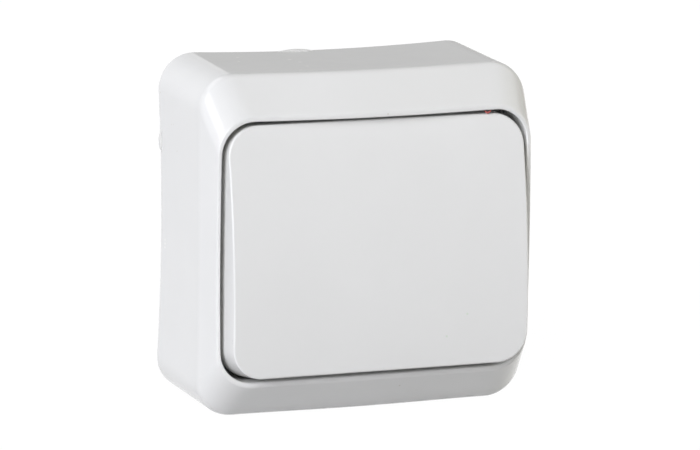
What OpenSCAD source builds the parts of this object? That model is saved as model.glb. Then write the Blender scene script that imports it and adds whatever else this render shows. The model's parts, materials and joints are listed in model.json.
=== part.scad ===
// Surface-mounted one-gang light switch with a wide rocker.
// Frame: X to the right, Y into the wall, Z up. The wall is the plane y = 0 and the front faces -Y.
// Every piece is drawn lying on its back, with z as its distance from the wall, and then turned upright.

/* [Housing] */
// Width of the housing at the wall
back_w = 70.3; // [66:0.1:80]
// Height of the housing at the wall
back_h = 70.8; // [66:0.1:80]
// Radius of the housing's corners at the wall
back_r = 7.4; // [6:0.1:10]
// How far each side is drawn in at its middle, at the wall
waist = 0.73; // [0:0.01:1.5]
// How far the front crease is set in from the wall's outline, at the left and right
crease_in_x = 0.15; // [0:0.05:1]
// How far the front crease is set in from the wall's outline, at the top and bottom
crease_in_y = 0.3; // [0:0.05:1]
// Depth of the crease where the bevels begin, from the wall
crease_z = 26.3; // [24:0.1:32]
// How far the crease bows forward at the middle of the top and bottom
crease_bow = 1.4; // [0:0.1:2]
// Depth of the bevels, from the crease to the rim round the rocker
bevel_z = 7.8; // [6:0.1:10]
// Width of the bevels at the left and right, from the crease to the opening
side_bevel = 2.1; // [1.8:0.1:4]
// Height of the bevels at the top and bottom, from the crease to the opening
top_bevel = 8.2; // [6:0.1:10]
// How far the rim bows forward at the middle of the top and bottom
rim_bow = 0.8; // [0:0.1:2]
// Thickness of the housing's walls
wall = 2.1; // [1.6:0.1:2.4]
// Radius of the opening's corners
opening_r = 7; // [4:0.1:8]
// Width of the rounded lip round the opening
lip = 0.75; // [0.3:0.05:1]
// Thickness of the skirt behind the lip
skirt = 1.5; // [1:0.1:2]
// Depth of the well behind the rim
well_deep = 11.6; // [10.5:0.1:13]
// Thickness of the floor of the well
floor_t = 2; // [1.2:0.1:2.4]
// Width of the break-out webs for surface cables
web_w = 13; // [8:0.5:15]
// Thickness of those webs
web_t = 0.8; // [0.5:0.1:1.2]

/* [Rocker] */
// Gap between the rocker and the opening, at the left and right
gap_x = 0.8; // [0.6:0.05:1.5]
// Gap between the rocker and the opening, at the top and bottom
gap_y = 0.9; // [0.8:0.05:1.5]
// How much the rocker's walls lean in towards the face
rocker_draft = 0.35; // [0.1:0.05:0.8]
// How far the middle of the rocker's face stands out of the rim
face_rise = 3.95; // [3.4:0.05:6]
// How far the face falls away from its middle to its upper and lower edges
crown = 2.25; // [1:0.05:2.6]
// Thickness of the rocker's face
face_t = 1.8; // [1.2:0.1:2]
// Thickness of the rocker's skirt
rocker_wall = 1.4; // [1:0.1:2]
// Rounding of the rocker's front edge
edge_r = 0.6; // [0.2:0.05:1]
// Height of the skirt's free edge above the floor, with the rocker level
skirt_clear = 5.1; // [4.5:0.1:7]
// How far the rocker's hinge axis lies behind the rim
pivot_deep = 2.6; // [2.2:0.1:3]
// Angle that the rocker leans to each side of the middle
lean = 6; // [3:0.5:6.5]
// Thickness of the ribs behind the rocker's face
rib_t = 1; // [0.6:0.1:1.4]

/* [Back plate] */
// Thickness of the plate
plate_t = 2.4; // [2:0.1:3]
// Height of the rim round the plate, above the plate
plate_rim = 3; // [1:0.1:5]
// Gap between the plate and the housing
plate_gap = 0.2; // [0.1:0.05:0.4]
// Distance of each wall screw's slot from the housing's side
slot_in = 8.15; // [7.5:0.05:10]
// Width of each slot
slot_w = 4.2; // [3.5:0.1:5]
// Length of each slot, from end to end
slot_l = 7; // [5:0.1:8]
// Radius of the rear cable entry
cable_r = 6.5; // [4:0.1:7]
// Distance of the rear cable entry's centre from the housing's lower edge
cable_in = 11.6; // [11:0.1:13]
// Height of the collar round the cable entry, above the plate
collar_h = 1.5; // [0.5:0.1:3]
// How far the plate's tabs stand out of the housing's sides
tab_proud = 0.35; // [0.1:0.05:0.5]
// Thickness of the tabs
tab_t = 1; // [0.6:0.1:2]
// Width of the upper and lower tabs
tab_w = 7; // [4:0.1:10]
// Height of the tabs at the left and right
tab_h = 4.2; // [3:0.1:8]
// Distance of the upper and lower tabs from the middle
tab_x = 5.6; // [0:0.1:15]
// Distance of the left and right tabs above and below the middle
tab_y = 17.5; // [6:0.5:20]

/* [Mechanism] */
// Height of the mechanism's body
mech_h = 29; // [28:0.1:30]
// Thickness of the body's walls beside the terminal pockets
mech_wall = 1.1; // [0.9:0.1:1.6]
// How far the body stands out of the floor of the well
mech_rise = 1.5; // [1:0.1:2]
// Depth of the pockets in the body
pocket_deep = 12; // [11.5:0.1:14]
// Radius of the carrier's hinge pins
pin_r = 1.5; // [1:0.05:1.6]
// Radial clearance of a part that turns or slides in its hole
run_gap = 0.05; // [0.02:0.01:0.1]
// Radius of the plunger
plunger_r = 1.95; // [1.5:0.05:2]
// Distance from the blade's axis to the plunger's tip
tip_rise = 1.5; // [1.5:0.05:1.8]
// Wire thickness of the plunger's spring
spring_wire = 0.4; // [0.3:0.05:0.6]
// Turns of the plunger's spring
spring_turns = 6; // [4:1:8]
// Thickness of the brass strips
strip_t = 1.2; // [0.8:0.1:1.3]
// Height of the axis that the contact blade rocks about, above the pockets' floor
blade_rise = 4.5; // [4.4:0.05:4.6]
// Thickness of the contact blade
blade_t = 0.8; // [0.5:0.1:0.8]
// Distance from the blade's axis to its contact
arm = 9.5; // [8.5:0.1:9.6]
// How far the blade turns for each degree of the rocker
blade_ratio = 1.5; // [1.2:0.1:1.5]
// Radius of the holes for the wires
wire_r = 1.9; // [1.5:0.1:2.1]

/* [Screws] */
// Radius of the screws' shanks
shank_r = 1.45; // [1.2:0.05:1.6]
// Radius of the screws' heads
head_r = 2.8; // [2.4:0.1:3]
// Height of the screws' heads
head_t = 2.1; // [1.6:0.1:2.4]
// Radial clearance round the screws' shanks
screw_gap = 0.1; // [0.05:0.05:0.3]
// Distance of the housing's screws from the sides of the well
post_in = 7.9; // [7.5:0.1:8.5]

/* [Hidden] */
tiny = 0.01;
seat_gap = 0.3;
snap_gap = 0.15;
lug_x = 7.3;
lug_t = 2.2;
pocket_w = 6.6;
ear_out = 2.5;
ear_y = 8;
arc_steps = 7;
side_steps = 10;
pin_fn = 32;

crease_w = back_w - 2 * crease_in_x;
crease_h = back_h - 2 * crease_in_y;
rim_z = crease_z + bevel_z;
opening_w = crease_w - 2 * side_bevel;
opening_h = crease_h - 2 * top_bevel;
floor_z = rim_z - well_deep;
rocker_w = opening_w - 2 * gap_x;
rocker_h = opening_h - 2 * gap_y;
rocker_r = opening_r - 0.2;
face_z = rim_z + face_rise;
skirt_z = floor_z + skirt_clear;
pivot_z = rim_z - pivot_deep;
slot_span = back_w - 2 * slot_in;
cable_drop = back_h / 2 - cable_in;
mech_z = floor_z + mech_rise;
pocket_z = mech_z - pocket_deep;
pocket_x = lug_x + lug_t + seat_gap + pocket_w / 2;
mech_w = 2 * (pocket_x + pocket_w / 2 + mech_wall);
mech_ear = [mech_w / 2 + ear_out, ear_y];
blade_z = pocket_z + blade_rise;
post_x = opening_w / 2 - post_in;
post_y = opening_h / 2 - post_in;

// A ring is [half width, half height, corner radius, waist of the top and bottom, waist of the sides,
// distance from the wall, forward bow of the top and bottom, forward bow of the sides].
back_ring = [back_w / 2, back_h / 2, back_r, waist, waist, 0, 0, 0];
crease_ring = [
    crease_w / 2, crease_h / 2, back_r - 0.1, waist / 6, waist / 6, crease_z, crease_bow, crease_bow / 6
];
rim_ring = [opening_w / 2 + lip, opening_h / 2 + lip, opening_r + lip, 0.2, -0.2, rim_z, rim_bow, 0];
mouth_ring = inset(rim_ring, lip * 0.35);
lip_ring = inset(rim_ring, lip);
well_ring = deeper(lip_ring, lip);
floor_ring = [lip_ring[0], lip_ring[1], lip_ring[2], 0.2, -0.2, floor_z, 0, 0];

function inset(k, d) = [k[0] - d, k[1] - d, k[2] - d, k[3], k[4], k[5], k[6], k[7]];
function deeper(k, d) = [k[0], k[1], k[2], k[3], k[4], k[5] - d, k[6], k[7]];
function mix(a, b, t) = a + (b - a) * t;
function bend(a, b, c, t) = mix(mix(a, b, t), mix(b, c, t), t);
function hump(t) = 4 * t * (1 - t);
function swell(t) = pow(sin(180 * t), 1.4);

// One straight stretch of a ring, from corner point p to corner point q, drawn in by w and bowed by b
function stretch(p, q, w, z, b, steps) =
    let (d = q - p, n = [-d.y, d.x] / norm(d))
    [for (i = [1:steps - 1]) let (t = i / steps, m = mix(p, q, t) + n * w * hump(t))
        [m.x, m.y, z + b * swell(t)]];
function corner(c, r, a, z) =
    [for (i = [0:arc_steps]) let (g = a + 90 * i / arc_steps) [c.x + r * cos(g), c.y + r * sin(g), z]];

// The points of a ring, with tb steps along its top and bottom and lr steps along its sides, at the top left
// and going round by the left, the bottom and the right
function ring(k, tb, lr) =
    let (w = k[0], h = k[1], r = k[2], z = k[5], x = w - r, y = h - r)
    concat(
        corner([-x, y], r, 90, z), stretch([-w, y], [-w, -y], k[4], z, k[7], lr),
        corner([-x, -y], r, 180, z), stretch([-x, -h], [x, -h], k[3], z, k[6], tb),
        corner([x, -y], r, 270, z), stretch([w, -y], [w, y], k[4], z, k[7], lr),
        corner([x, y], r, 0, z), stretch([x, h], [-x, h], k[3], z, k[6], tb)
    );

function full_ring(k) = ring(k, side_steps, side_steps);

// The triangles between two rings of n points, starting at points a and b
function band(a, b, n) = [for (i = [0:n - 1]) let (j = (i + 1) % n)
    each [[a + i, b + j, a + j], [a + i, b + i, b + j]]];

// A solid through a list of rings, each end closed by triangles that meet at its middle
module loft(rings) {
    n = len(rings[0]);
    last = len(rings) - 1;
    first_mid = [0, 0, rings[0][0].z];
    last_mid = [0, 0, rings[last][0].z];
    points = concat([for (r = rings) each r], [first_mid, last_mid]);
    faces = concat(
        [for (i = [0:n - 1]) [i, (i + 1) % n, (last + 1) * n]],
        [for (k = [0:last - 1]) each band(k * n, (k + 1) * n, n)],
        [for (i = [0:n - 1]) [last * n + (i + 1) % n, last * n + i, (last + 1) * n + 1]]
    );
    polyhedron(points, faces);
}

// Turns what is drawn lying down upright against the wall
module upright() rotate([90, 0, 0]) children();

// Turns what belongs to the rocker about its hinge, from the middle to where it rests, top pressed in
module leaning() {
    translate([0, 0, pivot_z]) rotate([-lean, 0, 0]) translate([0, 0, -pivot_z]) children();
}

// Half the width of the back outline at height y, and half its height at x
function side_x(y) = back_w / 2 - waist * hump((y + back_h / 2 - back_r) / (back_h - 2 * back_r));
function top_y(x) = back_h / 2 - waist * hump((x + back_w / 2 - back_r) / (back_w - 2 * back_r));

// The outline of a ring as a flat shape
module outline(k) polygon([for (p = full_ring(k)) [p.x, p.y]]);

module rounded_box(w, h, r) {
    square([w - 2 * r, h], center = true);
    square([w, h - 2 * r], center = true);
    for (x = [-1, 1], y = [-1, 1]) translate([x * (w / 2 - r), y * (h / 2 - r)]) circle(r, $fn = pin_fn);
}

// Housing: one moulded shell, waisted at the wall, with bevels up to the lip and a well for the rocker
crease_soft = 0.05;
lip_soft = 0.1;
post_r = 3.5;
window_gap = 1;
window_r = 2;

side_end = mix(back_ring, crease_ring, 1 - crease_soft);
bevel_start = mix(crease_ring, rim_ring, crease_soft * 2);
bevel_end = mix(crease_ring, rim_ring, 1 - lip_soft);

// The outside from the wall to the crease, over the bevels to the lip, and down into the well
function outer_rings() = concat(
    [full_ring(back_ring)],
    [for (t = [0:0.25:1]) full_ring(bend(side_end, crease_ring, bevel_start, t))],
    [for (t = [0:0.25:1]) full_ring(bend(bevel_end, rim_ring, mouth_ring, t))],
    [for (t = [0.25:0.25:1]) full_ring(bend(mouth_ring, lip_ring, well_ring, t))],
    [full_ring(floor_ring)]
);

// The hollow behind the shell, round the block that the well leaves
module cavity() {
    roof = wall * 0.9;
    difference() {
        loft([
            for (k = [
                mix(inset(back_ring, wall), inset(crease_ring, wall), -0.1),
                inset(crease_ring, wall),
                deeper(rim_ring, roof)
            ]) full_ring([k[0], k[1], k[2], k[3], k[4], k[5], 0, 0])
        ]);
        translate([0, 0, floor_z - floor_t]) linear_extrude(rim_z)
            rounded_box(opening_w + 2 * skirt, opening_h + 2 * skirt, opening_r + skirt);
    }
}

// Break-out webs: the wall is thinned from inside, beside the tabs, where a surface cable may come in
module web_recesses() {
    web_h = 9;
    web_lap = 1;
    middle = back_h / 2 - waist - web_t;
    for (s = [-1, 1]) translate([s * (tab_x + web_w / 2 - web_lap) - web_w / 2, 0, 0])
        translate([0, s > 0 ? middle - wall : -middle, -1]) cube([web_w, wall, web_h + 1]);
}

module tab_slots() {
    g = plate_gap;
    depth = tab_t + g / 2;
    translate([-tab_x - tab_w / 2 - g, 0, -1]) cube([tab_w + 2 * g, back_h, depth + 1]);
    translate([tab_x - tab_w / 2 - g, -back_h, -1]) cube([tab_w + 2 * g, back_h, depth + 1]);
    translate([-back_w, tab_y - tab_h / 2 - g, -1]) cube([back_w, tab_h + 2 * g, depth + 1]);
    translate([0, -tab_y - tab_h / 2 - g, -1]) cube([back_w, tab_h + 2 * g, depth + 1]);
}

module housing() {
    color("white") upright() difference() {
        loft(outer_rings());
        cavity();
        web_recesses();
        translate([0, 0, floor_z - floor_t - 1]) linear_extrude(floor_t + 2)
            rounded_box(mech_w + 2 * window_gap, mech_h + 2 * window_gap, window_r);
        for (s = [-1, 1]) translate([s * post_x, -s * post_y, 0])
            cylinder(r = shank_r + screw_gap, h = floor_z + 1, $fn = pin_fn);
        tab_slots();
    }
}

// Back plate: the moulded base that goes on the wall, with the cover's posts and the rear cable entry
module slot(w, l, h) {
    linear_extrude(h) {
        square([l - w, w], center = true);
        for (s = [-1, 1]) translate([s * (l - w) / 2, 0]) circle(w / 2, $fn = pin_fn);
    }
}

plate_ring = inset(back_ring, wall + plate_gap);
rim_wall = 1.6;
collar_t = 1.2;
ear_t = 3;
tab_root = 4;
screw_deep = 7;

// A tab that reaches out along y, with a crowned end as wide as w
module tab(w, reach) {
    crown_r = (w * w / 4 + tab_proud * tab_proud) / (2 * tab_proud);
    linear_extrude(tab_t) intersection() {
        translate([-w / 2, 0]) square([w, reach]);
        translate([0, reach - crown_r]) circle(crown_r, $fn = 4 * pin_fn);
    }
}

module back_plate() {
    root = plate_gap + wall + tab_root;
    up = top_y(tab_x) + tab_proud;
    side = side_x(tab_y) + tab_proud;
    color("gainsboro") upright() difference() {
        union() {
            linear_extrude(plate_t) outline(plate_ring);
            linear_extrude(plate_t + plate_rim) difference() {
                outline(plate_ring);
                outline(inset(plate_ring, rim_wall));
            }
            for (s = [-1, 1]) translate([s * post_x, -s * post_y, 0])
                cylinder(r = post_r, h = floor_z - floor_t, $fn = pin_fn);
            for (s = [0, 180]) rotate(s) {
                translate([-tab_x, up - root, 0]) tab(tab_w, root);
                translate([root - side, tab_y, 0]) rotate(90) tab(tab_h, root);
            }
            translate([0, -cable_drop, 0])
                cylinder(r = cable_r + collar_t, h = plate_t + collar_h, $fn = pin_fn);
        }
        for (s = [-1, 1]) {
            translate([s * slot_span / 2, 0, -1]) slot(slot_w, slot_l, plate_t + 2);
            translate([s * post_x, -s * post_y, floor_z - floor_t - screw_deep - 1])
                cylinder(r = shank_r + screw_gap, h = screw_deep + 2, $fn = pin_fn);
            translate([s * mech_ear.x, -s * mech_ear.y, -1])
                cylinder(r = shank_r + screw_gap, h = plate_t + 2, $fn = pin_fn);
        }
        translate([0, -cable_drop, -1]) cylinder(r = cable_r, h = plate_t + collar_h + 2, $fn = pin_fn);
    }
}

// Screws with a slotted cheese head, drawn with the underside of the head at z = 0
screw_end = 0.5;

module screw(length) {
    slot_t = 0.8;
    slot_deep = 1;
    difference() {
        union() {
            cylinder(r = head_r, h = head_t, $fn = pin_fn);
            translate([0, 0, -length]) cylinder(r = shank_r, h = length + tiny, $fn = pin_fn);
        }
        translate([-head_r - 1, -slot_t / 2, head_t - slot_deep])
            cube([2 * head_r + 2, slot_t, slot_deep + 1]);
    }
}

module cover_screw(s) color("silver") upright() translate([s * post_x, -s * post_y, floor_z])
    rotate(s * 35) screw(floor_t + screw_deep - screw_end);
module cover_screw_upper() cover_screw(-1);
module cover_screw_lower() cover_screw(1);

// Mechanism body: an open moulded block with a chamber, two terminal pockets and the rocker's bearings
blade_tail = 2;
blade_room = 1;
chamber = [13, 2 * (arm + blade_tail + blade_room)];
pocket_h = 20;
strip_gap = 0.2;
clamp_deep = 3;
wire_z = pocket_z + strip_t + wire_r;
funnel = 0.6;
lug_r = 3.2;
lug_top = 1.7;
snap_w = 2.4;
bridge_w = 5;

module bearing_lug() {
    difference() {
        union() {
            rotate([0, 90, 0]) cylinder(r = lug_r, h = lug_t, $fn = pin_fn);
            translate([0, -lug_r, mech_z - pivot_z - 2]) cube([lug_t, 2 * lug_r, pivot_z - mech_z + 2]);
        }
        translate([-1, -lug_r - 1, lug_top]) cube([lug_t + 2, 2 * lug_r + 2, lug_r]);
        translate([-1, 0, 0]) rotate([0, 90, 0]) cylinder(r = pin_r + run_gap, h = lug_t + 2, $fn = pin_fn);
        translate([-1, -snap_w / 2, 0]) cube([lug_t + 2, snap_w, lug_r + 1]);
    }
}

module mechanism_body() {
    color("ivory") upright() {
        difference() {
            union() {
                translate([-mech_w / 2, -mech_h / 2, plate_t]) cube([mech_w, mech_h, mech_z - plate_t]);
                for (s = [-1, 1]) translate([s * mech_ear.x, -s * mech_ear.y, plate_t])
                    cylinder(r = post_r, h = ear_t, $fn = pin_fn);
            }
            translate([-chamber.x / 2, -chamber.y / 2, pocket_z]) cube([chamber.x, chamber.y, mech_z]);
            for (s = [-1, 1]) {
                translate([s * pocket_x - pocket_w / 2, -pocket_h / 2, pocket_z])
                    cube([pocket_w, pocket_h, mech_z]);
                translate([s * pocket_x, 0, pocket_z - clamp_deep - 1])
                    cylinder(r = shank_r + screw_gap, h = clamp_deep + 2, $fn = pin_fn);
                translate([s * pocket_x, -mech_h / 2 - 1, wire_z]) rotate([-90, 0, 0])
                    cylinder(r = wire_r, h = mech_h + 2, $fn = pin_fn);
                for (e = [-1, 1]) translate([s * pocket_x, e * mech_h / 2, wire_z]) rotate([e * 90, 0, 0])
                    cylinder(r1 = wire_r + funnel, r2 = wire_r, h = funnel, $fn = pin_fn);
                translate([s * mech_ear.x, -s * mech_ear.y, plate_t - 1])
                    cylinder(r = shank_r + screw_gap, h = mech_z, $fn = pin_fn);
                translate([s * mech_ear.x, -s * mech_ear.y, plate_t + ear_t])
                    cylinder(r = post_r + 0.2, h = mech_z, $fn = pin_fn);
            }
            for (p = [[-pocket_x, 0], [0, -arm]])
                translate([p.x, p.y - bridge_w / 2 - strip_gap / 2, pocket_z])
                    cube([pocket_x, bridge_w + strip_gap, strip_t + strip_gap]);
        }
        for (s = [-1, 1]) translate([s * (lug_x + lug_t / 2) - lug_t / 2, 0, pivot_z]) bearing_lug();
    }
}

module mechanism_screw(s) color("silver") upright()
    translate([s * mech_ear.x, -s * mech_ear.y, plate_t + ear_t]) rotate(s * 20)
        screw(plate_t + ear_t - screw_end);
module mechanism_screw_left() mechanism_screw(-1);
module mechanism_screw_right() mechanism_screw(1);

// Brass strips: each has a landing under its clamp screw and a tongue that reaches into the chamber
strip_w = pocket_w - 2 * strip_gap;
landing_h = 12;
bead_r = 0.9;
saddle_h = 3.6;
cheek_t = 0.8;
blade_w = 6;

module strip_landing(s) {
    translate([s * pocket_x - strip_w / 2, -landing_h / 2, 0]) cube([strip_w, landing_h, strip_t]);
}

module strip_hole(s) translate([s * pocket_x, 0, -1])
    cylinder(r = shank_r + run_gap, h = strip_t + 2, $fn = pin_fn);

module common_strip() {
    rise = blade_z - pocket_z;
    color("goldenrod") upright() translate([0, 0, pocket_z]) difference() {
        union() {
            strip_landing(-1);
            translate([-pocket_x, -bridge_w / 2, 0]) cube([pocket_x + blade_w / 2 + 1, bridge_w, strip_t]);
            translate([-blade_w / 2 - seat_gap - cheek_t, -saddle_h / 2, 0])
                cube([blade_w + 2 * (seat_gap + cheek_t), saddle_h, rise]);
            for (x = [-blade_w / 2 - seat_gap - cheek_t, blade_w / 2 + seat_gap])
                translate([x, -saddle_h / 2, 0]) cube([cheek_t, saddle_h, rise + blade_t + 1]);
        }
        translate([-blade_w, 0, rise]) rotate([0, 90, 0])
            cylinder(r = bead_r + run_gap * 2, h = 2 * blade_w, $fn = pin_fn);
        strip_hole(-1);
    }
}

contact_r = 1.5;
contact_t = 0.8;
contact_air = 0.1;
blade_foot = bead_r - 0.4;

module switched_strip() {
    color("goldenrod") upright() translate([0, 0, pocket_z]) difference() {
        union() {
            strip_landing(1);
            translate([-contact_r - 1, -arm - bridge_w / 2, 0])
                cube([pocket_x + contact_r + 1, bridge_w, strip_t]);
            translate([pocket_x - strip_w / 2, strip_gap - pocket_h / 2, 0])
                cube([strip_w, pocket_h / 2, strip_t]);
        }
        strip_hole(1);
    }
}

blade_lean = lean * blade_ratio;
// Where the moving contact's outer edge comes at rest, and from it the fixed contact's top
contact_low = blade_z - (arm + contact_r) * sin(blade_lean) + (blade_foot - contact_t) * cos(blade_lean);

module fixed_contact() {
    foot = pocket_z + strip_t;
    color("silver") upright() translate([0, -arm, foot])
        cylinder(r = contact_r, h = contact_low - contact_air - foot, $fn = pin_fn);
}

// Clamp plates and screws over the landings
clamp_t = 1.4;
clamp_w = strip_w - strip_gap;

module clamp_plate(s) color("silver") upright()
    translate([s * pocket_x, 0, pocket_z + strip_t]) difference() {
        translate([-clamp_w / 2, -clamp_w / 2, 0]) cube([clamp_w, clamp_w, clamp_t]);
        translate([0, 0, -1]) cylinder(r = shank_r + screw_gap, h = clamp_t + 2, $fn = pin_fn);
    }
module common_clamp_plate() clamp_plate(-1);
module switched_clamp_plate() clamp_plate(1);

module clamp_screw(s) color("silver") upright() translate([s * pocket_x, 0, pocket_z + strip_t + clamp_t])
    rotate(90 + s * 15) screw(strip_t + clamp_t + clamp_deep);
module common_clamp_screw() clamp_screw(-1);
module switched_clamp_screw() clamp_screw(1);

// Rocker: a crowned shell with a drafted skirt and four hooks that hold the carrier's plate
plate_x = 14;
plate_y = 8;
carrier_t = 1.6;
carrier_top = face_z - face_t - crown * pow(plate_y / (rocker_h / 2), 2) - snap_gap;
hook_x = plate_x + snap_gap;
hook_t = 1.5;
hook_w = 4;
hook_y = 4.5;
hook_catch = 0.7;
rib_x = 21;
rib_h = 1;

function crowned(k, drop) =
    [for (p = ring(k, 1, 12)) [p.x, p.y, k[5] + (drop ? crown * (1 - pow(p.y / (rocker_h / 2), 2)) : 0)]];

// The face's strips run from side to side, so that each is flat
function ladder(n, a) = [for (i = [0:n / 2 - 2]) [a + n - 1 - i, a + n - 2 - i, a + i + 1, a + i]];

module crowned_loft(rings) {
    n = len(rings[0]);
    last = len(rings) - 1;
    faces = concat(
        [[for (i = [0:n - 1]) i]],
        [for (k = [0:last - 1]) each band(k * n, (k + 1) * n, n)],
        ladder(n, last * n)
    );
    polyhedron([for (r = rings) each r], faces);
}

function rocker_ring(d, z) = [rocker_w / 2 - d, rocker_h / 2 - d, rocker_r - d, 0, 0, z, 0, 0];

module rocker_shell() {
    edge_z = face_z - crown;
    difference() {
        crowned_loft(concat(
            [crowned(rocker_ring(0, skirt_z), false)],
            [for (a = [0:22.5:90]) let (d = edge_r * (1 - cos(a)), z = edge_z - edge_r * (1 - sin(a)))
                crowned(rocker_ring(rocker_draft + d, z), true)]
        ));
        difference() {
            crowned_loft([
                crowned(rocker_ring(rocker_wall - 0.05, skirt_z - 1), false),
                crowned(rocker_ring(rocker_draft + rocker_wall, edge_z - face_t), true)
            ]);
            for (s = [-1, 1]) translate([s * rib_x - rib_t / 2, -rocker_h / 2, edge_z - face_t - rib_h])
                cube([rib_t, rocker_h, crown + face_t + rib_h]);
        }
    }
}

module rocker() {
    hook_lip = 0.85;
    hook_low = carrier_top - carrier_t - snap_gap - hook_lip;
    color("white") upright() leaning() {
        rocker_shell();
        for (sx = [0, 1], sy = [-1, 1]) mirror([sx, 0, 0])
            translate([hook_x, sy * hook_y - hook_w / 2, hook_low]) {
                cube([hook_t, hook_w, face_z - face_t - hook_low]);
                translate([-hook_catch, 0, 0]) cube([hook_catch + tiny, hook_w, hook_lip]);
            }
    }
}

// Carrier: the rocking frame under the rocker, with the hinge pins and the plunger's tube
ear_x = lug_x - seat_gap;
ear_w = 1.6;
ear_h = 6;
stay_t = 1.4;
tube_r = 3.1;
tube_rise = 7.1;
tube_z = blade_z + tube_rise;
tube_grip = 3;
bore_r = plunger_r + run_gap;

module carrier() {
    base = carrier_top - carrier_t;
    color("whitesmoke") upright() leaning() difference() {
        union() {
            translate([-plate_x, -plate_y, base]) cube([2 * plate_x, 2 * plate_y, carrier_t]);
            for (s = [-1, 1]) {
                translate([s * (ear_x - ear_w / 2) - ear_w / 2, -ear_h / 2, pivot_z - pin_r])
                    cube([ear_w, ear_h, base - pivot_z + pin_r + tiny]);
                translate([s * (ear_x - 0.5), 0, pivot_z]) rotate([0, s * 90, 0])
                    cylinder(r = pin_r, h = lug_t + 0.9, $fn = pin_fn);
            }
            translate([0, 0, tube_z]) cylinder(r = tube_r, h = base - tube_z + tiny, $fn = pin_fn);
            translate([-ear_x, -stay_t / 2, pivot_z - pin_r])
                cube([2 * ear_x, stay_t, base - pivot_z + pin_r + tiny]);
        }
        translate([0, 0, tube_z - 1]) cylinder(r = bore_r, h = base - tube_z + 1, $fn = pin_fn);
    }
}

// Plunger and its spring, in the carrier's tube
tip_r = 1.2;
tip_cone = 1.6;
tip_z = blade_z + tip_rise + tip_r;
plunger_top = tube_z + tube_grip;

module plunger() {
    neck = tip_z + tip_cone;
    color("beige") upright() leaning() {
        translate([0, 0, neck]) cylinder(r = plunger_r, h = plunger_top - neck, $fn = pin_fn);
        translate([0, 0, tip_z]) cylinder(r1 = tip_r, r2 = plunger_r, h = neck - tip_z, $fn = pin_fn);
        translate([0, 0, tip_z]) sphere(tip_r, $fn = pin_fn);
    }
}

// A helix of round wire, as rings of points across the wire
module helix(radius, wire, height, turns) {
    sides = 6;
    steps = turns * 14;
    pitch = (height - wire) / turns;
    rings = [for (i = [0:steps]) let (a = 360 * turns * i / steps, z = wire / 2 + pitch * turns * i / steps)
        [for (j = [0:sides - 1]) let (g = -360 * j / sides, r = radius + wire / 2 * cos(g))
            [r * cos(a), r * sin(a), z + wire / 2 * sin(g)]]];
    faces = concat(
        [[for (j = [0:sides - 1]) j]],
        [for (k = [0:steps - 1]) each band(k * sides, (k + 1) * sides, sides)],
        [[for (j = [sides - 1:-1:0]) steps * sides + j]]
    );
    polyhedron([for (r = rings) each r], faces);
}

module plunger_spring() {
    room = carrier_top - carrier_t - plunger_top;
    end_gap = 0.03;
    color("silver") upright() leaning() translate([0, 0, plunger_top + end_gap])
        helix(plunger_r - spring_wire / 2 - 0.15, spring_wire, room - 2 * end_gap, spring_turns);
}

// Contact blade: a seesaw with a bead rolled in its back, at rest pushed in at its lower end
module seesaw() translate([0, 0, blade_z]) rotate([blade_lean, 0, 0]) children();

module contact_blade() {
    color("goldenrod") upright() seesaw() {
        translate([-blade_w / 2, -arm - blade_tail, blade_foot])
            cube([blade_w, 2 * (arm + blade_tail), blade_t]);
        translate([-blade_w / 2, 0, 0]) rotate([0, 90, 0]) cylinder(r = bead_r, h = blade_w, $fn = pin_fn);
    }
}

module blade_contact() {
    color("silver") upright() seesaw() translate([0, -arm, blade_foot - contact_t])
        cylinder(r = contact_r, h = contact_t, $fn = pin_fn);
}

back_plate();
housing();
cover_screw_upper();
cover_screw_lower();
mechanism_body();
mechanism_screw_left();
mechanism_screw_right();
common_strip();
switched_strip();
fixed_contact();
common_clamp_plate();
switched_clamp_plate();
common_clamp_screw();
switched_clamp_screw();
rocker();
carrier();
plunger();
plunger_spring();
contact_blade();
blade_contact();
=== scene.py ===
import json
import math

import bmesh
import bpy
import numpy as np
from mathutils import Matrix, Vector


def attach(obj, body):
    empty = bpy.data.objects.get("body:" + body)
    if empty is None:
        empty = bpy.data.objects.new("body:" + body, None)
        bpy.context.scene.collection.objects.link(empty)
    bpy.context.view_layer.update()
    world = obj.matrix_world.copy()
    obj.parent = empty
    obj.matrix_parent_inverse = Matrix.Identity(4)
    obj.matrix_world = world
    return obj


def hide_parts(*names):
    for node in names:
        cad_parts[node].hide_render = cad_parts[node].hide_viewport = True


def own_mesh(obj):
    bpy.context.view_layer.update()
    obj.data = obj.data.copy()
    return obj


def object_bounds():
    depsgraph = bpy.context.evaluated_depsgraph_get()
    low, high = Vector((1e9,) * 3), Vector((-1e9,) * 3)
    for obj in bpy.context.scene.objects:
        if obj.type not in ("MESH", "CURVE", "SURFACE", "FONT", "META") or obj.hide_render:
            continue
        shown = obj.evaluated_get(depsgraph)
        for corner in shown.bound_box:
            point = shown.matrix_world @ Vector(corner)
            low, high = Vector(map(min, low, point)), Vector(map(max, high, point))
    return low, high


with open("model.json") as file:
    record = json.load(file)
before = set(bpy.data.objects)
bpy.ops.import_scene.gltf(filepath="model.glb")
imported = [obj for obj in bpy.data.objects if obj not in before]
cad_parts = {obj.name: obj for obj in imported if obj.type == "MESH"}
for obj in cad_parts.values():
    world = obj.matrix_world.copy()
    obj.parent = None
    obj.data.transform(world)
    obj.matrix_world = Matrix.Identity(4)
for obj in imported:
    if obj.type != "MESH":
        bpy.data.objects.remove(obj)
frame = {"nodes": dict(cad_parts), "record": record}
cad_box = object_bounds()
MM = 0.001

# Sizes of the moulded shells in millimetres. They are the construction's, but the photo shows a
# wider lip, more draft and a sharper edge on the rocker, and the rocker a little off its centre.
BACK = dict(w=70.3, h=70.8, r=7.4, waist=0.73, edge=0.15)
CREASE = dict(w=70.0, h=70.2, r=7.3, z=26.3, bow=1.4, soft=0.05)
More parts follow.
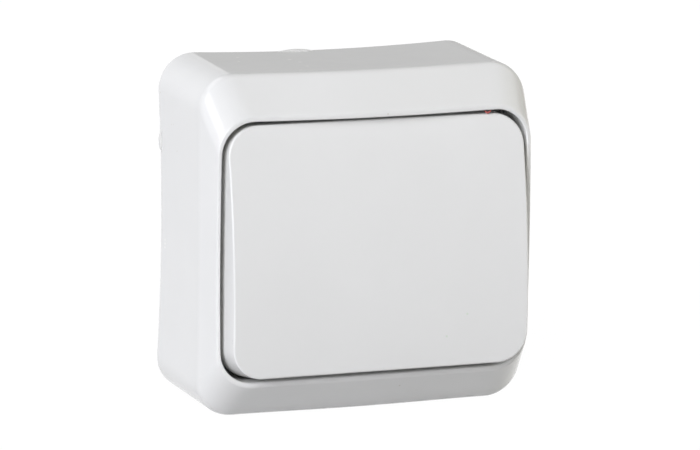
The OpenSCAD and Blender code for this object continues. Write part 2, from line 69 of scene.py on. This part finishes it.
# The crease's waist is the wall's divided by this, and the bow of its sides is its own divided by this
FADE = 6
OPENING = dict(w=65.8, h=53.8, r=7.0, waist=0.2)
RIM_Z = 34.1
RIM_BOW = 0.8
# The moulded lip rolls a little further over the opening than the plain construction has it.
# flat is the part of its width that faces forward, soft the part of the bevel that turns into it.
LIP = dict(x=0.85, y=1.0, over=0.25, deep=0.75, flat=0.7, soft=0.03)
# How far down the well its rings lie, as parts of its depth
WELL_RINGS = (0.15, 0.4, 1.0)
WALL = 2.1
# The shell over the cavity's top, as a part of the wall's thickness
ROOF = 0.9
# Where the cavity starts on the way from the wall to the crease: a little behind the wall
CAVITY_START = -0.1
SKIRT = 1.5
FLOOR_Z = 22.5
FLOOR_T = 2.0
WINDOW = (37.0, 31.0, 2.0)
POST = (25.0, 19.0)
SCREW_HOLE_R = 1.55
TAB = dict(w=7.4, h=4.6, x=5.6, y=17.5, depth=1.1)
WEB = dict(w=13.0, t=0.8, z=9.0, past_tab=1.0)
ROCKER = dict(w=64.2, h=52.0, r=6.8, draft=0.47, face_z=38.045, crown=2.25,
              face_t=1.8, wall=1.4, skirt_z=27.6, skirt_thin=0.05)
# The rounded edge of the rocker's face, and the flat rim that starts the face inside it
EDGE_R = 0.38
FACE_RIM = 0.12
# The rocker sits a little to the right in its play
PLAY = 0.12
RIB = dict(x=21.0, t=1.0, z=33.0)
HOOK = dict(x=14.15, y=4.5, w=4.0, t=1.5, low=33.287, catch=0.7, lip=0.85)
PIVOT_Z = 31.5
LEAN = 6.0
# How far a cutter reaches past what it cuts
CLEAR = 1.0

CORNER_STEPS = 18
SIDE_STEPS = 44
BEND_STEPS = 8
EDGE_STEPS = 10


def mix(a, b, t):
    return a + (b - a) * t


def bend(a, b, c, t):
    return mix(mix(a, b, t), mix(b, c, t), t)


def ring_key(w, h, r, waist_tb, waist_lr, z, bow_tb=0.0, bow_lr=0.0):
    """Half width, half height, corner radius, waists, distance from the wall and forward bows."""
    return np.array([w, h, r, waist_tb, waist_lr, z, bow_tb, bow_lr], float)


def hump(t):
    return 4 * t * (1 - t)


def swell(t, sharpness=1.4):
    return math.sin(math.pi * t) ** sharpness


def stretch(p, q, waist, z, bow, steps):
    """The inner points of one straight side of a ring, drawn in at its middle and bowed forward."""
    length = math.hypot(q[0] - p[0], q[1] - p[1])
    nx, ny = -(q[1] - p[1]) / length, (q[0] - p[0]) / length
    points = []
    for i in range(1, steps):
        t = i / steps
        points.append((mix(p[0], q[0], t) + nx * waist * hump(t),
                       mix(p[1], q[1], t) + ny * waist * hump(t), z + bow * swell(t)))
    return points


def corner(cx, cy, r, start, z):
    angles = [math.radians(start + 90 * i / CORNER_STEPS) for i in range(CORNER_STEPS + 1)]
    return [(cx + r * math.cos(a), cy + r * math.sin(a), z) for a in angles]


def ring(k, tb=SIDE_STEPS, lr=SIDE_STEPS):
    w, h, r, waist_tb, waist_lr, z, bow_tb, bow_lr = k
    x, y = w - r, h - r
    return (corner(-x, y, r, 90, z) + stretch((-w, y), (-w, -y), waist_lr, z, bow_lr, lr)
            + corner(-x, -y, r, 180, z) + stretch((-x, -h), (x, -h), waist_tb, z, bow_tb, tb)
            + corner(x, -y, r, 270, z) + stretch((w, -y), (w, y), waist_lr, z, bow_lr, lr)
            + corner(x, y, r, 0, z) + stretch((x, h), (-x, h), waist_tb, z, bow_tb, tb))


def upright(p):
    """From lying on its back, in millimetres, to the row frame, in metres."""
    return (p[0] * MM, -p[2] * MM, p[1] * MM)


def mesh_object(name, points, faces, place=upright):
    mesh = bpy.data.meshes.new(name)
    mesh.from_pydata([place(p) for p in points], [], faces)
    work = bmesh.new()
    work.from_mesh(mesh)
    bmesh.ops.recalc_face_normals(work, faces=work.faces)
    work.to_mesh(mesh)
    work.free()
    mesh.validate()
    obj = bpy.data.objects.new(name, mesh)
    bpy.context.scene.collection.objects.link(obj)
    return obj


def band(a, b, n):
    return [(a + i, a + (i + 1) % n, b + (i + 1) % n, b + i) for i in range(n)]


def loft(name, rings, place=upright):
    n = len(rings[0])
    last = len(rings) - 1
    faces = [tuple(range(n))]
    for k in range(last):
        faces += band(k * n, (k + 1) * n, n)
    faces.append(tuple(last * n + i for i in range(n)))
    return mesh_object(name, [p for r in rings for p in r], faces, place)


def box_cutter(name, low, high, place=upright):
    corners = [(x, y, z) for z in (low[2], high[2]) for x, y in
               ((low[0], low[1]), (high[0], low[1]), (high[0], high[1]), (low[0], high[1]))]
    faces = [(3, 2, 1, 0), (4, 5, 6, 7), (0, 1, 5, 4), (1, 2, 6, 5), (2, 3, 7, 6), (3, 0, 4, 7)]
    return mesh_object(name, corners, faces, place)


def round_cutter(name, x, y, r, low, high, steps=40):
    angles = [2 * math.pi * i / steps for i in range(steps)]
    circle = [(x + r * math.cos(a), y + r * math.sin(a)) for a in angles]
    return loft(name, [[(*p, z) for p in circle] for z in (low, high)])


def carve(obj, cutters, operation="DIFFERENCE"):
    for cutter in cutters:
        modifier = obj.modifiers.new("carve", "BOOLEAN")
        modifier.object = cutter
        modifier.operation = operation
        modifier.solver = "MANIFOLD"
    bpy.context.view_layer.update()
    evaluated = obj.evaluated_get(bpy.context.evaluated_depsgraph_get())
    mesh = bpy.data.meshes.new_from_object(evaluated)
    obj.modifiers.clear()
    obj.data = mesh
    for cutter in cutters:
        bpy.data.objects.remove(cutter)


def smooth(obj, angle):
    obj.data.polygons.foreach_set("use_smooth", [True] * len(obj.data.polygons))
    obj.data.set_sharp_from_angle(angle=math.radians(angle))


# Materials
def new_material(name):
    material = bpy.data.materials.new(name)
    material.use_nodes = True
    tree = material.node_tree
    shader = tree.nodes["Principled BSDF"]
    place = tree.nodes.new("ShaderNodeTexCoord")
    return material, tree, shader, place


def noise(tree, place, scale, detail=3.0, stretch_to=None):
    texture = tree.nodes.new("ShaderNodeTexNoise")
    texture.inputs["Scale"].default_value = scale
    texture.inputs["Detail"].default_value = detail
    source = place.outputs["Object"]
    if stretch_to:
        mapping = tree.nodes.new("ShaderNodeMapping")
        mapping.inputs["Scale"].default_value = stretch_to
        tree.links.new(source, mapping.inputs["Vector"])
        source = mapping.outputs["Vector"]
    tree.links.new(source, texture.inputs["Vector"])
    return texture.outputs["Fac"]


def spread(tree, value, low, high):
    """Maps a noise value from its middle range to low and high."""
    node = tree.nodes.new("ShaderNodeMapRange")
    node.inputs["From Min"].default_value = 0.3
    node.inputs["From Max"].default_value = 0.7
    node.inputs["To Min"].default_value = low
    node.inputs["To Max"].default_value = high
    tree.links.new(value, node.inputs["Value"])
    return node.outputs["Result"]


def blend_colours(tree, factor, a, b):
    node = tree.nodes.new("ShaderNodeMix")
    node.data_type = "RGBA"
    for socket, value in ((node.inputs[6], a), (node.inputs[7], b)):
        if isinstance(value, tuple):
            socket.default_value = (*value, 1)
        else:
            tree.links.new(value, socket)
    tree.links.new(factor, node.inputs[0])
    return node.outputs[2]


def bump(tree, shader, layers):
    """Stacks bump layers, each a value, its height in millimetres and its strength."""
    normal = None
    for value, height, strength in layers:
        node = tree.nodes.new("ShaderNodeBump")
        node.inputs["Distance"].default_value = height * MM
        node.inputs["Strength"].default_value = strength
        tree.links.new(value, node.inputs["Height"])
        if normal:
            tree.links.new(normal, node.inputs["Normal"])
        normal = node.outputs["Normal"]
    tree.links.new(normal, shader.inputs["Normal"])


def near_any(tree, place, dots, core=0.4):
    """1 in the core of each small round mark, fading to 0 at its edge."""
    total = None
    for x, y, z, radius in dots:
        away = tree.nodes.new("ShaderNodeVectorMath")
        away.operation = "DISTANCE"
        away.inputs[1].default_value = (x * MM, y * MM, z * MM)
        tree.links.new(place.outputs["Object"], away.inputs[0])
        fade = tree.nodes.new("ShaderNodeMapRange")
        fade.inputs["From Min"].default_value = radius * MM * core
        fade.inputs["From Max"].default_value = radius * MM
        fade.inputs["To Min"].default_value = 1.0
        fade.inputs["To Max"].default_value = 0.0
        tree.links.new(away.outputs["Value"], fade.inputs["Value"])
        if total is None:
            total = fade.outputs["Result"]
            continue
        either = tree.nodes.new("ShaderNodeMath")
        either.operation = "MAXIMUM"
        tree.links.new(total, either.inputs[0])
        tree.links.new(fade.outputs["Result"], either.inputs[1])
        total = either.outputs[0]
    return total


def gloss_plastic(name, colour, shade, marks):
    """Moulded gloss plastic: faint flow mottling, fine haze, a barely wavy skin and small marks."""
    material, tree, shader, place = new_material(name)
    tint = blend_colours(tree, spread(tree, noise(tree, place, 60, 4), 0, 1), colour, shade)
    for mark_colour, dots in marks:
        tint = blend_colours(tree, near_any(tree, place, dots), tint, mark_colour)
    tree.links.new(tint, shader.inputs["Base Color"])
    tree.links.new(spread(tree, noise(tree, place, 420, 2), 0.06, 0.12), shader.inputs["Roughness"])
    shader.inputs["IOR"].default_value = 1.5
    bump(tree, shader, [(noise(tree, place, 90, 1), 0.02, 0.25), (noise(tree, place, 2500, 1), 0.002, 0.3)])
    return material


def satin_plastic(name, colour, shade, low=0.38, high=0.5):
    """Satin moulding with a fine spark-eroded grain."""
    material, tree, shader, place = new_material(name)
    tint = blend_colours(tree, spread(tree, noise(tree, place, 140, 4), 0, 1), colour, shade)
    tree.links.new(tint, shader.inputs["Base Color"])
    tree.links.new(spread(tree, noise(tree, place, 900, 2), low, high), shader.inputs["Roughness"])
    bump(tree, shader, [(noise(tree, place, 1800, 2), 0.01, 0.4)])
    return material


def metal(name, colour, shade, low, high, stretch_to=(1, 1, 1), grain=900):
    """Worked metal: drawn or rolled grain, with the colour slightly uneven."""
    material, tree, shader, place = new_material(name)
    tint = blend_colours(tree, spread(tree, noise(tree, place, 260, 4), 0, 1), colour, shade)
    tree.links.new(tint, shader.inputs["Base Color"])
    shader.inputs["Metallic"].default_value = 1.0
    haze = spread(tree, noise(tree, place, grain, 3, stretch_to), low, high)
    tree.links.new(haze, shader.inputs["Roughness"])
    bump(tree, shader, [(noise(tree, place, grain, 2, stretch_to), 0.006, 0.35)])
    return material


WHITE = (0.83, 0.83, 0.82)
WHITE_SHADE = (0.815, 0.815, 0.805)

# Small marks that the plastic carries: a colour, and dots of it as x, y, z and radius in millimetres
HOUSING_MARKS = [
    ((0.96, 0.95, 0.92), [
        (-34.5, -3.0, -2.9, 0.35), (-34.5, -3.0, -3.7, 0.4), (-34.5, -3.0, -4.5, 0.35),
        (-20.4, -6.9, 35.1, 0.5), (-21.8, -11.8, 35.1, 0.45), (-10.6, -11.0, 34.9, 0.55),
        (-9.6, -14.6, 34.9, 0.5), (-9.9, -19.8, 34.9, 0.45), (-12.8, -24.2, 35.0, 0.45),
    ]),
    ((0.66, 0.64, 0.58), [
        (-35.1, -1.4, 27.6, 0.22), (-34.9, -8.1, 22.1, 0.16),
        (-34.9, -9.5, 22.4, 0.16), (-34.8, -11.5, 17.2, 0.2),
        (6.3, -32.6, -29.7, 0.25), (2.05, -34.9, 27.1, 0.2),
    ]),
    ((0.79, 0.79, 0.79), [
        (-34.85, -11.2, 29.1, 0.25), (-34.8, -11.4, 29.7, 0.25), (-34.7, -12.0, 30.2, 0.25),
        (-34.6, -13.2, 30.5, 0.25), (-34.6, -14.4, 30.5, 0.25),
    ]),
]
ROCKER_MARKS = [
    ((0.70, 0.78, 0.68), [(14.0, -38.8, -18.6, 0.3), (18.4, -38.8, -14.2, 0.3)]),
    ((0.68, 0.68, 0.70), [(-31.6, -38.0, -16.7, 0.22), (-31.6, -38.0, -17.2, 0.2)]),
]

# Metals that were drawn or rolled have their grain stretched along the row's depth and width
DRAWN = (1, 1, 8)
MATERIALS = {
    "housing_white": gloss_plastic("housing_white", WHITE, WHITE_SHADE, HOUSING_MARKS),
    "rocker_white": gloss_plastic("rocker_white", WHITE, WHITE_SHADE, ROCKER_MARKS),
    "plate_white": satin_plastic("plate_white", (0.80, 0.80, 0.785), (0.77, 0.77, 0.75)),
    "body_ivory": satin_plastic("body_ivory", (0.74, 0.70, 0.60), (0.70, 0.65, 0.54), 0.45, 0.6),
    "carrier_grey": satin_plastic("carrier_grey", (0.70, 0.70, 0.68), (0.66, 0.66, 0.64)),
    "plunger_beige": satin_plastic("plunger_beige", (0.66, 0.58, 0.44), (0.60, 0.52, 0.38), 0.3, 0.42),
    "spring_steel": metal("spring_steel", (0.62, 0.63, 0.65), (0.5, 0.5, 0.52), 0.2, 0.35),
    "blade_copper": metal("blade_copper", (0.78, 0.50, 0.33), (0.70, 0.42, 0.26), 0.22, 0.38, DRAWN),
    "contact_silver": metal("contact_silver", (0.86, 0.86, 0.84), (0.74, 0.74, 0.72), 0.25, 0.4),
    "strip_brass": metal("strip_brass", (0.80, 0.62, 0.30), (0.70, 0.52, 0.24), 0.22, 0.38, DRAWN),
    "clamp_steel": metal("clamp_steel", (0.66, 0.66, 0.62), (0.58, 0.58, 0.52), 0.3, 0.45),
    "screw_steel": metal("screw_steel", (0.70, 0.70, 0.68), (0.60, 0.60, 0.55), 0.25, 0.4),
}


# Housing: the shell from the wall to the lip and down into the rocker's well
def housing_keys():
    back = ring_key(BACK["w"] / 2, BACK["h"] / 2, BACK["r"], BACK["waist"], BACK["waist"], 0)
    waist = BACK["waist"] / FADE
    crease = ring_key(CREASE["w"] / 2, CREASE["h"] / 2, CREASE["r"], waist, waist,
                      CREASE["z"], CREASE["bow"], CREASE["bow"] / FADE)
    w, h, r, waist = OPENING["w"] / 2, OPENING["h"] / 2, OPENING["r"], OPENING["waist"]
    over = LIP["over"]
    well = ring_key(w, h, r, waist, -waist, FLOOR_Z)
    inner = ring_key(w - over, h - over, r - over, waist, -waist, RIM_Z, RIM_BOW)
    rim = inner.copy()
    rim[:3] += (LIP["x"], LIP["y"], LIP["y"])
    return back, crease, rim, inner, well


def between(a, b, count):
    """Ring keys in even steps from a to b, without a and b themselves."""
    return [mix(a, b, t) for t in np.linspace(0, 1, count + 2)[1:-1]]


def turn(a, b, c, steps=BEND_STEPS):
    """Ring keys of a rounded turn from a to c with its corner at b."""
    return [bend(a, b, c, t) for t in np.linspace(0, 1, steps + 1)]


def outside_keys(back, crease, rim, inner, well):
    """The skin's rings: wall, rounded crease, bevel, lip and well."""
    edge = back.copy()
    edge[:3] -= BACK["edge"]
    foot = back.copy()
    foot[5] = BACK["edge"]
    wall_end = mix(back, crease, 1 - CREASE["soft"])
    bevel_start = mix(crease, rim, CREASE["soft"] * 2)
    bevel_end = mix(crease, rim, 1 - LIP["soft"])
    mouth = mix(rim, inner, LIP["flat"])
    down = inner.copy()
    down[5] -= LIP["deep"]
    return ([edge, foot] + between(foot, wall_end, 7)
            + turn(wall_end, crease, bevel_start, EDGE_STEPS) + between(bevel_start, bevel_end, 5)
            + turn(bevel_end, rim, mouth) + turn(mouth, inner, down)[1:]
            + [mix(down, well, t) for t in WELL_RINGS])


def housing_cavity(back, crease, rim):
    """The hollow behind the skin, less the block of the rocker's well."""
    cavity_back = back.copy()
    cavity_back[:3] -= WALL
    cavity_crease = crease.copy()
    cavity_crease[:3] -= WALL
    cavity_top = rim.copy()
    cavity_top[5] -= WALL * ROOF
    below = mix(cavity_back, cavity_crease, CAVITY_START)
    hollow = []
    for k in (below, cavity_crease, cavity_top):
        k[6:] = 0
        hollow.append(ring(k))
    cavity = loft("cavity", hollow)
    w, h, r = OPENING["w"] / 2 + SKIRT, OPENING["h"] / 2 + SKIRT, OPENING["r"] + SKIRT
    levels = (FLOOR_Z - FLOOR_T, RIM_Z + 4 * CLEAR)
    carve(cavity, [loft("block", [ring(ring_key(w, h, r, 0, 0, z)) for z in levels])])
    return cavity


def floor_cutters():
    """The mechanism's window and the two screw holes in the well's floor."""
    low, high = FLOOR_Z - FLOOR_T - CLEAR, FLOOR_Z + CLEAR
    w, h, r = WINDOW
    window = loft("window", [ring(ring_key(w / 2, h / 2, r, 0, 0, z)) for z in (low, high)])
    x, y = POST
    return [window] + [round_cutter("hole", s * x, -s * y, SCREW_HOLE_R, low, high) for s in (-1, 1)]


def web_cutters():
    """The places where the wall is thinned from inside, to be broken out for a surface cable."""
    middle = BACK["h"] / 2 - BACK["waist"] - WEB["t"]
    webs = []
    for s in (-1, 1):
        x = s * (TAB["x"] + WEB["w"] / 2 - WEB["past_tab"]) - WEB["w"] / 2
        y = middle - WALL if s > 0 else -middle
        webs.append(box_cutter("web", (x, y, -CLEAR), (x + WEB["w"], y + WALL, WEB["z"])))
    return webs


def slot_cutters():
    """The four slots at the wall that the back plate's tabs show in."""
    tw, th = TAB["w"] / 2, TAB["h"] / 2
    low, high = -CLEAR, TAB["depth"]
    return [
        box_cutter("slot", (-TAB["x"] - tw, 0, low), (-TAB["x"] + tw, BACK["h"], high)),
        box_cutter("slot", (TAB["x"] - tw, -BACK["h"], low), (TAB["x"] + tw, 0, high)),
        box_cutter("slot", (-BACK["w"], TAB["y"] - th, low), (0, TAB["y"] + th, high)),
        box_cutter("slot", (0, -TAB["y"] - th, low), (BACK["w"], -TAB["y"] + th, high)),
    ]


def housing_shell():
    back, crease, rim, inner, well = housing_keys()
    obj = loft("housing_shell", [ring(k) for k in outside_keys(back, crease, rim, inner, well)])
    carve(obj, [housing_cavity(back, crease, rim)] + floor_cutters() + web_cutters() + slot_cutters())
    smooth(obj, 30)
    return obj


# Rocker: a crowned face with a rounded edge and a drafted skirt, hollow behind
def leaning(p):
    """Turns a point of the rocker about its hinge to where it rests, its top pressed in."""
    a = math.radians(-LEAN)
    y, z = p[1], p[2] - PIVOT_Z
    turned = (y * math.cos(a) - z * math.sin(a), y * math.sin(a) + z * math.cos(a))
    return upright((p[0], turned[0], PIVOT_Z + turned[1]))


def crowned(inset, z, follow):
    """One ring of the rocker, flat or following the crown of its face."""
    half_h = ROCKER["h"] / 2
    crown = ROCKER["crown"] if follow else 0
    k = ring_key(ROCKER["w"] / 2 - inset, half_h - inset, ROCKER["r"] - inset, 0, 0, z)
    return [(x + PLAY, y, pz + crown * (1 - (y / half_h) ** 2)) for x, y, pz in ring(k, tb=1)]


def crown_strips(start, n):
    """The crowned cap of a ring of n points: strips that run straight across, from left to right."""
    left = CORNER_STEPS + SIDE_STEPS + CORNER_STEPS
    return [(start + i, start + i + 1, start + n - 2 - i, start + n - 1 - i) for i in range(left)]


def crowned_solid(name, rings):
    """A closed form through the rocker's rings, the last of which is under the crowned cap."""
    n = len(rings[0])
    last = len(rings) - 1
    faces = [tuple(range(n))]
    for k in range(last):
        faces += band(k * n, (k + 1) * n, n)
    faces += crown_strips(last * n, n)
    return mesh_object(name, [p for r in rings for p in r], faces, leaning)


def rocker_hollow(edge_z):
    """The space behind the rocker's face, on both sides of its two ribs."""
    skirt, top = ROCKER["skirt_z"] - CLEAR, edge_z - ROCKER["face_t"]
    hollow = crowned_solid("hollow", [crowned(ROCKER["wall"] - ROCKER["skirt_thin"], skirt, False),
                                      crowned(ROCKER["draft"] + ROCKER["wall"], top, True)])
    half_t, half_h = RIB["t"] / 2, ROCKER["h"] / 2
    carve(hollow, [box_cutter("rib", (s * RIB["x"] - half_t, -half_h, RIB["z"]),
                              (s * RIB["x"] + half_t, half_h, ROCKER["face_z"]), leaning) for s in (-1, 1)])
    return hollow


def hook_boxes():
    """Each of the four hooks that hold the carrier is a shank and a catch."""
    hooks = []
    for sx in (-1, 1):
        for sy in (-1, 1):
            y = sy * HOOK["y"] - HOOK["w"] / 2
            inner, outer = HOOK["x"], HOOK["x"] + HOOK["t"]
            shank = (inner, ROCKER["face_z"] - ROCKER["face_t"] / 2)
            catch = (inner - HOOK["catch"], HOOK["low"] + HOOK["lip"])
            for near, top in (shank, catch):
                low, high = sorted((sx * near, sx * outer))
                hooks.append(box_cutter("hook", (low, y, HOOK["low"]), (high, y + HOOK["w"], top), leaning))
    return hooks


def rocker_key():
    edge_z = ROCKER["face_z"] - ROCKER["crown"]
    rings = [crowned(0, ROCKER["skirt_z"], False)]
    for step in range(EDGE_STEPS + 1):
        a = math.radians(90 * step / EDGE_STEPS)
        inset = ROCKER["draft"] + EDGE_R * (1 - math.cos(a))
        rings.append(crowned(inset, edge_z - EDGE_R * (1 - math.sin(a)), True))
    rings.append(crowned(ROCKER["draft"] + EDGE_R + FACE_RIM, edge_z, True))
    obj = crowned_solid("rocker_key", rings)
    carve(obj, [rocker_hollow(edge_z)])
    carve(obj, hook_boxes(), "UNION")
    smooth(obj, 25)
    return obj


def dress(piece, material):
    piece.data.materials.clear()
    piece.data.materials.append(material)


housing = housing_shell()
dress(housing, MATERIALS["housing_white"])
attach(housing, "base")
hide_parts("housing")

rocker = rocker_key()
dress(rocker, MATERIALS["rocker_white"])
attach(rocker, "key")
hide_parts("rocker")


# Lint: its two ends and the point that its middle bends towards, in the row frame in millimetres
FIBRE = dict(left=(23.5, -33.6, 26.5), sag=(24.1, -33.3, 25.6), right=(24.7, -33.8, 26.5),
             thick=0.2, ends=0.35)


def fibre(steps=10, sides=8):
    """A scrap of red lint caught in the gap over the rocker, a bent tube that thins to its ends."""
    left, sag, right = (Vector(FIBRE[k]) for k in ("left", "sag", "right"))
    ends = FIBRE["ends"]
    rings = []
    for i in range(steps + 1):
        t = i / steps
        middle = left.lerp(sag, t).lerp(sag.lerp(right, t), t)
        along = (sag.lerp(right, t) - left.lerp(sag, t)).normalized()
        across = along.cross(Vector((0, 1, 0))).normalized()
        out = along.cross(across)
        r = FIBRE["thick"] * (ends + (1 - ends) * math.sin(math.pi * (0.1 + 0.8 * t)))
        angles = [2 * math.pi * j / sides for j in range(sides)]
        rings.append([tuple(middle + (across * math.cos(a) + out * math.sin(a)) * r) for a in angles])
    obj = loft("lint_fibre", rings, lambda p: tuple(v * MM for v in p))
    material, tree, shader, place = new_material("lint_red")
    tint = blend_colours(tree, noise(tree, place, 3000, 2), (0.55, 0.13, 0.11), (0.42, 0.10, 0.10))
    tree.links.new(tint, shader.inputs["Base Color"])
    shader.inputs["Roughness"].default_value = 0.8
    dress(obj, material)
    smooth(obj, 60)
    return obj


lint = fibre()
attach(lint, "base")


def plunger_spring_coil():
    """The solid's own coil, as a piece of its own carried with the key."""
    node = frame["nodes"]["plunger_spring"]
    coil = bpy.data.objects.new("plunger_spring_coil", node.data.copy())
    coil.matrix_world = node.matrix_world
    bpy.context.scene.collection.objects.link(coil)
    dress(coil, MATERIALS["spring_steel"])
    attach(coil, "key")
    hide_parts("plunger_spring")
    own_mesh(coil)


plunger_spring_coil()

for entry in frame["record"]["subparts"]:
    node = frame["nodes"][entry["node"]]
    for slot in node.material_slots:
        slot.material = MATERIALS[entry["material_slot"]]


# Camera, solved from the photograph's edges: angles in degrees, lengths in millimetres
CAMERA = dict(azimuth=-20.268, elevation=11.626, roll=0.773, distance=981.634,
              aside=6.633, above=-2.371, lens=242.128, film=36)


def place_camera():
    az, el, roll = (math.radians(CAMERA[k]) for k in ("azimuth", "elevation", "roll"))
    back = Vector((math.sin(az) * math.cos(el), -math.cos(az) * math.cos(el), math.sin(el)))
    level = (-back).cross(Vector((0, 0, 1))).normalized()
    rise = level.cross(-back)
    right = level * math.cos(roll) + rise * math.sin(roll)
    up = rise * math.cos(roll) - level * math.sin(roll)
    data = bpy.data.cameras.new("camera")
    data.lens = CAMERA["lens"]
    data.sensor_width = CAMERA["film"]
    data.clip_end = 50
    camera = bpy.data.objects.new("camera", data)
    spot = (back * CAMERA["distance"] + right * CAMERA["aside"] + up * CAMERA["above"]) * MM
    aim = Matrix((right, up, back)).transposed().to_4x4()
    camera.matrix_world = Matrix.Translation(spot) @ aim
    bpy.context.scene.collection.objects.link(camera)
    bpy.context.scene.camera = camera


place_camera()


# Lights: name, azimuth and elevation from the object, distance, width and height in metres, watts
# and tint. Azimuth 0 is straight in front, -90 at the left and 180 behind.
LIGHTS = [
    ("front_high", -30, 28, 2.75, 1.2, 1.2, 7.0, (1.0, 0.93, 0.76)),
    ("key_low", -50, 10, 2.75, 1.25, 1.5, 34.0, (0.91, 0.92, 1.0)),
    ("key_high", -50, 32, 2.75, 1.5, 1.5, 49.5, (0.94, 0.96, 1.0)),
    ("right_box", 85, 12, 1.1, 0.8, 0.8, 9.0, (1.0, 0.98, 0.91)),
    ("high_back", -150, 50, 1.3, 0.9, 0.7, 2.8, (1.0, 0.98, 1.0)),
    ("back_fill", 180, 8, 2.5, 1.2, 0.5, 20.0, (1.0, 1.0, 1.0)),
    ("edge_strip", -90, 30, 1.0, 0.26, 0.5, 1.0, (1.0, 1.0, 1.0)),
]
# Soft fills that no reflection shows, and the strip that shows only as one
NOT_REFLECTED = ("right_box", "back_fill")
ONLY_REFLECTED = ("edge_strip",)
# A grey flag behind, to the right, that only reflections see
FLAG = dict(azimuth=134.5, elevation=20, distance=1.5, width=1.6, height=1.4, level=0.5)


def facing(azimuth, elevation, distance, target=(0, -0.015, 0)):
    """Where something stands that looks back at the object, and how it is turned."""
    az, el = math.radians(azimuth), math.radians(elevation)
    away = Vector((math.sin(az) * math.cos(el), -math.cos(az) * math.cos(el), math.sin(el)))
    aim = away.to_track_quat("Z", "Y").to_matrix().to_4x4()
    return Matrix.Translation(Vector(target) + away * distance) @ aim


def flat_panel(name, half_w, half_h, z=0):
    corners = [(-half_w, -half_h, z), (half_w, -half_h, z), (half_w, half_h, z), (-half_w, half_h, z)]
    return mesh_object(name, corners, [(0, 1, 2, 3)], lambda p: p)


def grey_flag(azimuth, elevation, distance, width, height, level):
    panel = flat_panel("flag", width / 2, height / 2)
    panel.matrix_world = facing(azimuth, elevation, distance)
    material = bpy.data.materials.new("flag_grey")
    material.use_nodes = True
    shader = material.node_tree.nodes["Principled BSDF"]
    shader.inputs["Base Color"].default_value = (0, 0, 0, 1)
    shader.inputs["Specular IOR Level"].default_value = 0
    shader.inputs["Roughness"].default_value = 1.0
    shader.inputs["Emission Color"].default_value = (1, 1, 1, 1)
    shader.inputs["Emission Strength"].default_value = level
    panel.data.materials.append(material)
    panel.visible_camera = False
    panel.visible_diffuse = False
    panel.visible_shadow = False


grey_flag(**FLAG)


def area_light(name, azimuth, elevation, distance, width, height, power, tint):
    data = bpy.data.lights.new(name, "AREA")
    data.shape = "RECTANGLE"
    data.size = width
    data.size_y = height
    data.energy = power
    data.color = tint
    light = bpy.data.objects.new(name, data)
    light.matrix_world = facing(azimuth, elevation, distance)
    light.visible_camera = False
    light.visible_glossy = name not in NOT_REFLECTED
    light.visible_diffuse = name not in ONLY_REFLECTED
    bpy.context.scene.collection.objects.link(light)


for values in LIGHTS:
    area_light(*values)


def seeing_rays(tree):
    """1 for the rays of the camera, reflections and clear materials, and 0 for those that light things."""
    path = tree.nodes.new("ShaderNodeLightPath")
    seen = path.outputs["Is Camera Ray"]
    for ray in ("Is Glossy Ray", "Is Transmission Ray"):
        either = tree.nodes.new("ShaderNodeMath")
        either.operation = "MAXIMUM"
        tree.links.new(seen, either.inputs[0])
        tree.links.new(path.outputs[ray], either.inputs[1])
        seen = either.outputs[0]
    return seen


def white_world():
    """A white world for what the camera and reflections see, which lights nothing."""
    world = bpy.data.worlds.new("studio")
    world.use_nodes = True
    tree = world.node_tree
    background = tree.nodes["Background"]
    background.inputs["Color"].default_value = (1, 1, 1, 1)
    tree.links.new(seeing_rays(tree), background.inputs["Strength"])
    bpy.context.scene.world = world


white_world()

# Floor in metres: it is grey for the light that it bounces, and its glow, at this share, makes it
# white for the camera and for reflections
FLOOR = dict(half=4.0, under=0.0001, grey=0.45, glow=1.09, share=0.9)


def floor(z):
    plane = flat_panel("floor", FLOOR["half"], FLOOR["half"], z)
    material = bpy.data.materials.new("floor_white")
    material.use_nodes = True
    tree = material.node_tree
    shader = tree.nodes["Principled BSDF"]
    shader.inputs["Base Color"].default_value = (FLOOR["grey"], FLOOR["grey"], FLOOR["grey"], 1)
    shader.inputs["Roughness"].default_value = 0.9
    glow = tree.nodes.new("ShaderNodeEmission")
    glow.inputs["Strength"].default_value = FLOOR["glow"]
    blend = tree.nodes.new("ShaderNodeMixShader")
    share = tree.nodes.new("ShaderNodeMath")
    share.operation = "MULTIPLY"
    share.inputs[1].default_value = FLOOR["share"]
    tree.links.new(seeing_rays(tree), share.inputs[0])
    tree.links.new(share.outputs[0], blend.inputs[0])
    tree.links.new(shader.outputs[0], blend.inputs[1])
    tree.links.new(glow.outputs[0], blend.inputs[2])
    tree.links.new(blend.outputs[0], tree.nodes["Material Output"].inputs["Surface"])
    plane.data.materials.append(material)


floor(cad_box[0][2] - FLOOR["under"])

bpy.context.scene.view_settings.view_transform = "Standard"
